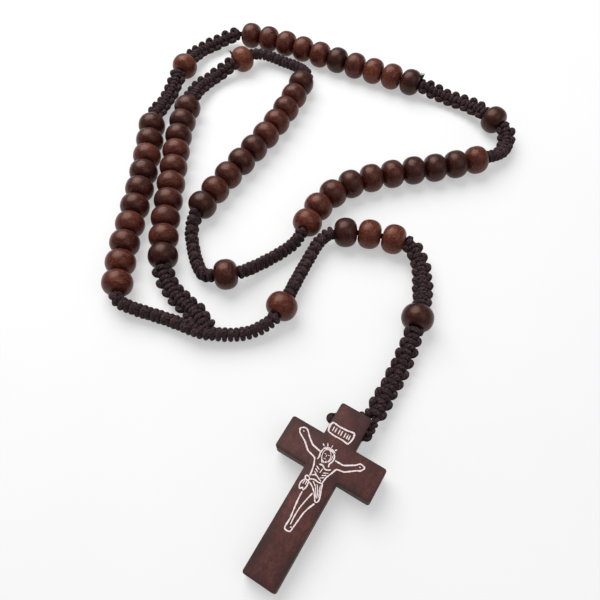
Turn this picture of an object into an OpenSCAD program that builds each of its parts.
// Knotted-cord rosary with wooden beads and a wooden cross, laid out on a flat surface.
// Millimetres. X runs across the layout, Y up it, Z up from the surface it lies on.
// The origin is the middle of the layout, on that surface.

/* [Beads] */
// Diameter of a bead, across the cord
bead_d = 8; // [7.6:0.1:8]
// Length of a bead, along the cord
bead_len = 5.8; // [5.4:0.1:5.9]
// Diameter of the hole through a bead
bead_hole_d = 1.5; // [1.4:0.1:2]

/* [Cord] */
// Diameter of the bundle of strands inside the beads
core_d = 1.3; // [0.8:0.1:1.3]
// Width of a knotted length
knot_w = 5; // [4:0.1:5]
// Thickness of a knotted length
knot_t = 3.8; // [3:0.1:3.8]
// Width of the knot where the two branches and the tail meet
branch_w = 6.6; // [5.6:0.1:6.8]
// Diameter of the cord loop that holds the cross
loop_d = 1.5; // [1.2:0.1:1.5]

/* [Cross] */
// Overall length of the cross
cross_len = 40; // [38:1:44]
// Span of the cross's arms
cross_span = 23; // [20:1:28]
// Width of the upright bar
stem_w = 7.6; // [7:0.1:8]
// Width of the arms
arm_w = 7.8; // [6:0.1:8]
// Thickness of the wood
cross_t = 4.4; // [4:0.1:5]
// Distance from the top end down to the arms
arm_drop = 8; // [7:0.5:10]
// Distance from the top end down to the eye, the hole that runs from side to side
eye_drop = 4.3; // [4:0.1:4.5]
// Diameter of the eye
eye_d = 2; // [1.9:0.1:2.2]

/* [Hidden] */
$fn = 48;

// Colours
bead_colour = [0.36, 0.19, 0.15];
cord_colour = [0.20, 0.13, 0.14];
wood_colour = [0.37, 0.20, 0.17];

// The cord's route round the loop of beads, one list for each stretch in order. Each list starts where
// the one before it ends, and leaves its own last point to the next one.
left_branch = [[-35, -28, 2.8], [-39.3, -26, 2.3], [-43.9, -24.3, 2.3], [-48.5, -22.8, 2.7],
    [-52.1, -21.3, 3.5]];
decade_1 = [[-53.4, -19, 4], [-53.5, -12, 4], [-53.5, -4, 4], [-52.7, 4, 4], [-51.9, 12, 4],
    [-51.5, 20, 4], [-51.2, 28, 4], [-51.1, 35.6, 4]];
corner_1a = [[-51.3, 43.5, 4], [-50.4, 47.8, 3], [-48.3, 53.7, 2.4], [-46.5, 59.5, 3]];
corner_1c = [[-45, 64.5, 4]];
corner_1b = [[-42.5, 70.5, 4], [-41, 74.5, 3], [-38.1, 78.2, 2.5], [-34.5, 81, 2.4],
    [-30.3, 83.2, 3]];
decade_2 = [[-25.5, 84, 4], [-18.5, 81.8, 4], [-11.5, 79, 4], [-5, 75.5, 4], [1.5, 71.7, 4],
    [8.5, 68.2, 4], [15.5, 65, 4], [23.5, 61, 4]];
corner_2a = [[31.5, 57, 4], [35.9, 55, 3], [40.5, 52.4, 2.4], [45.5, 48.8, 3]];
corner_2c = [[50, 43.5, 4]];
corner_2b = [[54, 38.5, 4], [55, 35, 3], [54.3, 31.6, 2.5], [51.9, 28.2, 2.9]];
decade_3 = [[47, 25.5, 4], [40, 23.3, 4], [32.5, 22, 4], [24.5, 20.8, 4], [16.5, 19.4, 4],
    [9.5, 17.2, 4], [3.5, 14, 4], [-0.9, 9.8, 4], [-4, 5, 4]];
corner_3a = [[-6.3, -0.1, 4], [-8.2, -3, 3], [-11.1, -5.4, 2.5], [-14.9, -8, 2.4],
    [-18.9, -10.8, 3]];
corner_3c = [[-23, -13.3, 4]];
corner_3b = [[-29.2, -14, 4], [-32.3, -12.7, 3], [-34.3, -8.4, 2.5], [-35.5, -4, 2.4],
    [-36.3, 1, 3]];
decade_4 = [[-35.3, 6.6, 4], [-31.5, 13.3, 4], [-27.3, 20, 4], [-22.5, 27, 4], [-17.7, 34, 4],
    [-13.5, 41.3, 4], [-10, 48.5, 4], [-7.3, 55, 4]];
corner_4a = [[-4.9, 61.4, 4], [-4.9, 65, 3.2], [-7.3, 68.4, 2.5], [-11.8, 71.2, 2.4],
    [-17.8, 73.8, 3.1]];
corner_4c = [[-22.8, 72.7, 4]];
corner_4b = [[-27.6, 68.7, 4], [-30.9, 66.6, 3], [-34.7, 63.1, 2.4], [-38.3, 58.2, 3]];
decade_5 = [[-40.7, 51.1, 4], [-42, 44.4, 4], [-42.8, 37.6, 4], [-43, 30.8, 4], [-43, 24, 4],
    [-43.1, 17, 4], [-43.4, 10, 4], [-43.5, 3, 4], [-43.3, -4, 4]];
right_branch = [[-42.5, -10.8, 4], [-41.5, -14, 3], [-39.3, -17.8, 2.4], [-36.3, -21.2, 2.4]];
right_branch_end = [[-33.3, -24, 2.8]];
LOOP = [left_branch, decade_1, corner_1a, corner_1c, corner_1b, decade_2, corner_2a, corner_2c,
    corner_2b, decade_3, corner_3a, corner_3c, corner_3b, decade_4, corner_4a, corner_4c, corner_4b, decade_5,
    right_branch, right_branch_end];

// The route of the knot where the branches meet, and of the tail from it down to the cross
branch = [[-35, -28, 2.8], [-31.5, -29.5, 2.8]];
tail_1 = [[-27.9, -30.2, 2.8], [-24, -30.3, 2.4], [-19.9, -29.8, 2.4], [-16.3, -28.4, 3]];
tail_1c = [[-13.2, -26.1, 4]];
tail_2 = [[-10.3, -20.4, 4], [-8.5, -15.8, 3], [-6.5, -11.2, 2.4], [-4.3, -6.9, 2.6],
    [-1.8, -2.9, 3.3]];
tail_2c = [[1.9, -0.7, 4], [8.3, -0.9, 4], [14.6, -2.1, 4]];
tail_3 = [[20.8, -4.3, 4], [22.9, -7, 3.2], [24.1, -11, 2.5], [24, -15, 2.4], [23.5, -19.5, 3]];
tail_3c = [[22.4, -24, 4]];
tail_4 = [[20.3, -30, 4], [18.7, -33.8, 3.2], [16.7, -38.2, 2.7], [14.4, -42.4, 2.7],
    [11.7, -46.8, 3]];
tail_end = [[9, -51.2, 3.5]];
TAIL = [branch, tail_1, tail_1c, tail_2, tail_2c, tail_3, tail_3c, tail_4, tail_end];

// The cross lies with its foot here, turned about Z, its top end propped on the cord loop behind it
cross_foot = [-16, -85, 0];
cross_turn = -32;
cross_tilt = 3;
corner_r = 0.6;

// The cord loop's route, seen from the cross: X to its right, Y from its foot end up, Z up from its back
LOOP_ROUTE = [[2.4, 41.3, 1.3], [1.7, 41.4, 0.4], [0.8, 41, -0.6], [-0.5, 39.8, -1.1],
    [-2.2, 38.6, -1.05], [-4, 37.4, -1.05], [-5.3, 36.5, -0.4], [-5.8, 35.9, 0.9], [-5.1, 35.7, 2.1],
    [-3.6, 35.7, 2.2], [0, 35.7, 2.2], [3.6, 35.7, 2.2], [4.8, 36.3, 2.2], [5, 38, 2.1],
    [4.8, 39.8, 1.8], [4.3, 41.3, 1.3]];

// Fineness of the curves and of the swept tubes
curve_steps = 8;
knot_sides = 12;
loop_sides = 8;
ring_gap = 2.2;
loop_ring_gap = 1.1;
// Gap left at the ends of each length of cord, so that neighbours touch without overlapping
end_gap = 0.2;
core_gap = 0.15;
// A knotted length narrows to this part of its width at its ends, over this distance
end_narrow = 0.62;
end_run = 2;

// The spindles of a decade, each ending after so many beads: pairs, and singles where decade 3 bends
beads_in_decade = 10;
paired = [0, 2, 4, 6, 8, 10];
paired_then_single = [0, 2, 4, 6, 7, 8, 9, 10];

// Radius of the arc that rounds a bead, and how far out from the cord its centre is
bead_arc_r = bead_len / 2;
bead_arc_out = bead_d / 2 - bead_arc_r;

// Point between b and c on the smooth curve through a, b, c and d, with t from 0 to 1
function curve_point(a, b, c, d, t) = 0.5 * (2 * b + (c - a) * t
    + (2 * a - 5 * b + 4 * c - d) * t * t + (3 * b - a - 3 * c + d) * t * t * t);

// All the points of a route that is given in stretches
function joined(route) = [for (stretch = route) for (p = stretch) p];

// Number of points in the stretches before stretch k
function start_of(route, k) = k == 0 ? 0 : start_of(route, k - 1) + len(route[k - 1]);

// Point i of a route, continued in a straight line past either end
function route_point(points, i) =
    i < 0 ? 2 * points[0] - points[1] :
    i >= len(points) ? 2 * points[len(points) - 1] - points[len(points) - 2] : points[i];

// Fine points along a route from its point first to its point last
function fine_points(points, first, last) = concat(
    [for (i = [first:last - 1]) for (k = [0:curve_steps - 1])
        curve_point(route_point(points, i - 1), points[i], points[i + 1], route_point(points, i + 2),
            k / curve_steps)],
    [points[last]]);

// Distance from the first point to each point
function distances(points) = [for (i = 0, s = 0; i < len(points);
    i = i + 1, s = i < len(points) ? s + norm(points[i] - points[i - 1]) : s) s];

// Tables of x, y and z against distance along a line of points
function ruler(points) = let (s = distances(points))
    [for (axis = [0:2]) [for (i = [0:len(points) - 1]) [s[i], points[i][axis]]]];
function at(ruler, s) = [for (table = ruler) lookup(s, table)];
function total(ruler) = ruler[0][len(ruler[0]) - 1][0];

// Ruler of stretch k of a route
function stretch_ruler(route, k) =
    ruler(fine_points(joined(route), start_of(route, k), start_of(route, k + 1)));

// Direction of a ruled line at a distance along it
function heading(ruler, s) = let (
    step = 0.05,
    d = at(ruler, s + step) - at(ruler, s - step))
    d / norm(d);

// One ring of a swept tube, w wide and t thick, at a distance along a ruled line
function ring(ruler, s, w, t, sides) = let (
    along = heading(ruler, s),
    side = cross([0, 0, 1], along) / norm(cross([0, 0, 1], along)),
    up = cross(along, side))
    [for (k = [0:sides - 1])
        at(ruler, s) + side * w / 2 * cos(360 * k / sides) + up * t / 2 * sin(360 * k / sides)];

// One ring of a round tube that may climb steeply, turned from a level direction square to the tube
function round_ring(ruler, s, d, sides) = let (
    along = heading(ruler, s),
    level = cross([0.2, 1, 0.1], along) / norm(cross([0.2, 1, 0.1], along)),
    up = cross(along, level))
    [for (k = [0:sides - 1])
        at(ruler, s) + (level * cos(360 * k / sides) + up * sin(360 * k / sides)) * d / 2];

// Closed skin over a list of rings that all have the same number of points
module skin(rings) {
    sides = len(rings[0]);
    last = len(rings) - 1;
    walls = [for (i = [0:last - 1]) for (k = [0:sides - 1]) let (n = (k + 1) % sides)
        each [[i * sides + k, i * sides + n, (i + 1) * sides + n],
              [i * sides + k, (i + 1) * sides + n, (i + 1) * sides + k]]];
    start_cap = [[for (k = [0:sides - 1]) sides - 1 - k]];
    end_cap = [[for (k = [0:sides - 1]) last * sides + k]];
    polyhedron(points = [for (r = rings) each r], faces = concat(walls, start_cap, end_cap));
}

// Part of the full width of a knotted length at distance s from one end and rest from the other
function narrowing(s, rest) = end_narrow + (1 - end_narrow) * min(1, min(s, rest) / end_run);

// Rings of a knotted length of cord along a ruled line
function knot_rings(ruler) = let (
    length = total(ruler) - 2 * end_gap,
    count = ceil(length / ring_gap),
    stations = concat([0, end_run / 2, end_run], [for (i = [2:count - 2]) length * i / count],
        [length - end_run, length - end_run / 2, length]))
    [for (s = stations) ring(ruler, s + end_gap, knot_w * narrowing(s, length - s),
        knot_t * narrowing(s, length - s), knot_sides)];

// Round ring square to a level line through p that runs between the headings a and b
function core_ring(p, a, b) = let (
    d = a / norm(a) + b / norm(b),
    side = cross([0, 0, 1], d) / norm(d))
    [for (k = [0:knot_sides - 1])
        p + (side * cos(360 * k / knot_sides) + [0, 0, sin(360 * k / knot_sides)]) * core_d / 2];

// Rings of the strands that run from point to point through beads, trimmed at both ends
function core_rings(points, trim_a, trim_b) = let (last = len(points) - 1)
    [for (i = [0:last]) let (
        to_here = points[max(i, 1)] - points[max(i, 1) - 1],
        onward = points[min(i, last - 1) + 1] - points[min(i, last - 1)],
        trim = i == 0 ? trim_a : i == last ? -trim_b : 0)
        core_ring(points[i] + onward / norm(onward) * trim, to_here, onward)];

// Rings where a knotted length ends and its strands run on through the beads at points
function core_after_knots(ruler, points) = concat(
    [ring(ruler, total(ruler) - end_gap, core_d, core_d, knot_sides)],
    core_rings(points, core_gap, core_gap));

// Turns +Z to point from a to b, and moves the start to a
module aim(a, b) {
    d = b - a;
    translate(a)
        rotate([0, acos(d.z / norm(d)), atan2(d.y, d.x)])
            children();
}

// One bead about +Z, with its middle at the origin
module bead() {
    rotate_extrude()
        difference() {
            translate([bead_arc_out, 0])
                circle(r = bead_arc_r);
            translate([-bead_d, -bead_d])
                square([bead_d + bead_hole_d / 2, 2 * bead_d]);
        }
}

// Beads evenly spaced on the straight line from a to b
module beads_between(a, b, count) {
    color(bead_colour)
        aim(a, b)
            for (i = [0:count - 1])
                translate([0, 0, norm(b - a) * (i + 0.5) / count])
                    bead();
}

// Stretch numbers in LOOP and TAIL
function decade_stretch(n) = 4 * n - 3;
function corner_stretch(n) = 4 * n - 2;

// Where the spindles of decade n end, in beads and as points
function spindle_counts(n) = n == 3 ? paired_then_single : paired;
function spindle_ends(n) = let (r = stretch_ruler(LOOP, decade_stretch(n)))
    [for (beads = spindle_counts(n)) at(r, total(r) * beads / beads_in_decade)];

// First and last point of a short stretch that carries beads, with any points between
function carried(route, k) = let (points = joined(route))
    [for (i = [start_of(route, k):start_of(route, k + 1)]) points[i]];

module decade_cord(n) {
    color(cord_colour)
        skin(core_rings(spindle_ends(n), core_gap, core_gap));
}

module decade_beads(n, spindle) {
    ends = spindle_ends(n);
    counts = spindle_counts(n);
    beads_between(ends[spindle - 1], ends[spindle], counts[spindle] - counts[spindle - 1]);
}

// A knotted length along a stretch, and its strands on through the beads of the next stretch
module knots_with_core(route, stretch) {
    r = stretch_ruler(route, stretch);
    color(cord_colour)
        skin(concat(knot_rings(r), core_after_knots(r, carried(route, stretch + 1))));
}

// A knotted length along a stretch
module plain_knots(route, stretch) {
    color(cord_colour)
        skin(knot_rings(stretch_ruler(route, stretch)));
}

module corner_knots_a(n) {
    knots_with_core(LOOP, corner_stretch(n));
}

module corner_knots_b(n) {
    plain_knots(LOOP, corner_stretch(n) + 2);
}

module corner_bead(n) {
    ends = carried(LOOP, corner_stretch(n) + 1);
    beads_between(ends[0], ends[1], 1);
}

module left_branch_knots() {
    plain_knots(LOOP, 0);
}

module right_branch_knots() {
    plain_knots(LOOP, len(LOOP) - 2);
}

module branch_knot() {
    r = stretch_ruler(TAIL, 0);
    length = total(r) - 2 * end_gap;
    stations = [0, 0.15, 0.3, 0.5, 0.7, 0.85, 1];
    color(cord_colour)
        skin([for (f = stations) ring(r, f * length + end_gap,
            knot_w + (branch_w - knot_w) * sin(180 * f), knot_t, knot_sides)]);
}

module tail_knots(n) {
    knots_with_core(TAIL, 2 * n - 1);
}

module tail_knots_4() {
    plain_knots(TAIL, 7);
}

module tail_bead(stretch, place) {
    ends = carried(TAIL, stretch);
    beads_between(ends[place - 1], ends[place], 1);
}

// Places its children where the cross lies
module on_cross() {
    translate(cross_foot)
        rotate([cross_tilt, 0, cross_turn])
            children();
}

module cord_loop() {
    r = ruler(fine_points(LOOP_ROUTE, 0, len(LOOP_ROUTE) - 1));
    length = total(r) - 2 * end_gap;
    rings = ceil(length / loop_ring_gap);
    color(cord_colour)
        on_cross()
            skin([for (i = [0:rings]) round_ring(r, end_gap + length * i / rings, loop_d, loop_sides)]);
}

// A flat bar from its middle, with its four upright edges rounded
module bar(w, l) {
    translate([-w / 2, -l / 2 + corner_r, 0])
        cube([w, l - 2 * corner_r, cross_t]);
    translate([-w / 2 + corner_r, -l / 2, 0])
        cube([w - 2 * corner_r, l, cross_t]);
    for (x = [-1, 1])
        for (y = [-1, 1])
            translate([x * (w / 2 - corner_r), y * (l / 2 - corner_r), 0])
                cylinder(r = corner_r, h = cross_t);
}

module cross_body() {
    color(wood_colour)
        on_cross()
            difference() {
                union() {
                    translate([0, cross_len / 2, 0])
                        bar(stem_w, cross_len);
                    translate([0, cross_len - arm_drop - arm_w / 2, 0])
                        bar(cross_span, arm_w);
                }
                translate([-stem_w, cross_len - eye_drop, cross_t / 2])
                    rotate([0, 90, 0])
                        cylinder(d = eye_d, h = 2 * stem_w);
            }
}

branch_knot();
left_branch_knots();
right_branch_knots();
decade_cord(1);  // decade_1_cord
decade_cord(2);  // decade_2_cord
decade_cord(3);  // decade_3_cord
decade_cord(4);  // decade_4_cord
decade_cord(5);  // decade_5_cord
decade_beads(1, 1);  // decade_1_beads_1
decade_beads(1, 2);  // decade_1_beads_2
decade_beads(1, 3);  // decade_1_beads_3
decade_beads(1, 4);  // decade_1_beads_4
decade_beads(1, 5);  // decade_1_beads_5
decade_beads(2, 1);  // decade_2_beads_1
decade_beads(2, 2);  // decade_2_beads_2
decade_beads(2, 3);  // decade_2_beads_3
decade_beads(2, 4);  // decade_2_beads_4
decade_beads(2, 5);  // decade_2_beads_5
decade_beads(3, 1);  // decade_3_beads_1
decade_beads(3, 2);  // decade_3_beads_2
decade_beads(3, 3);  // decade_3_beads_3
decade_beads(3, 4);  // decade_3_bead_7
decade_beads(3, 5);  // decade_3_bead_8
decade_beads(3, 6);  // decade_3_bead_9
decade_beads(3, 7);  // decade_3_bead_10
decade_beads(4, 1);  // decade_4_beads_1
decade_beads(4, 2);  // decade_4_beads_2
decade_beads(4, 3);  // decade_4_beads_3
decade_beads(4, 4);  // decade_4_beads_4
decade_beads(4, 5);  // decade_4_beads_5
decade_beads(5, 1);  // decade_5_beads_1
decade_beads(5, 2);  // decade_5_beads_2
decade_beads(5, 3);  // decade_5_beads_3
decade_beads(5, 4);  // decade_5_beads_4
decade_beads(5, 5);  // decade_5_beads_5
corner_knots_a(1);  // corner_1_knots_a
corner_knots_b(1);  // corner_1_knots_b
corner_bead(1);  // corner_1_bead
corner_knots_a(2);  // corner_2_knots_a
corner_knots_b(2);  // corner_2_knots_b
corner_bead(2);  // corner_2_bead
corner_knots_a(3);  // corner_3_knots_a
corner_knots_b(3);  // corner_3_knots_b
corner_bead(3);  // corner_3_bead
corner_knots_a(4);  // corner_4_knots_a
corner_knots_b(4);  // corner_4_knots_b
corner_bead(4);  // corner_4_bead
tail_knots(1);  // tail_knots_1
tail_bead(2, 1);  // tail_bead_1
tail_knots(2);  // tail_knots_2
tail_bead(4, 1);  // tail_bead_2
tail_bead(4, 2);  // tail_bead_3
tail_bead(4, 3);  // tail_bead_4
tail_knots(3);  // tail_knots_3
tail_bead(6, 1);  // tail_bead_5
tail_knots_4();
cord_loop();
cross_body();  // cross
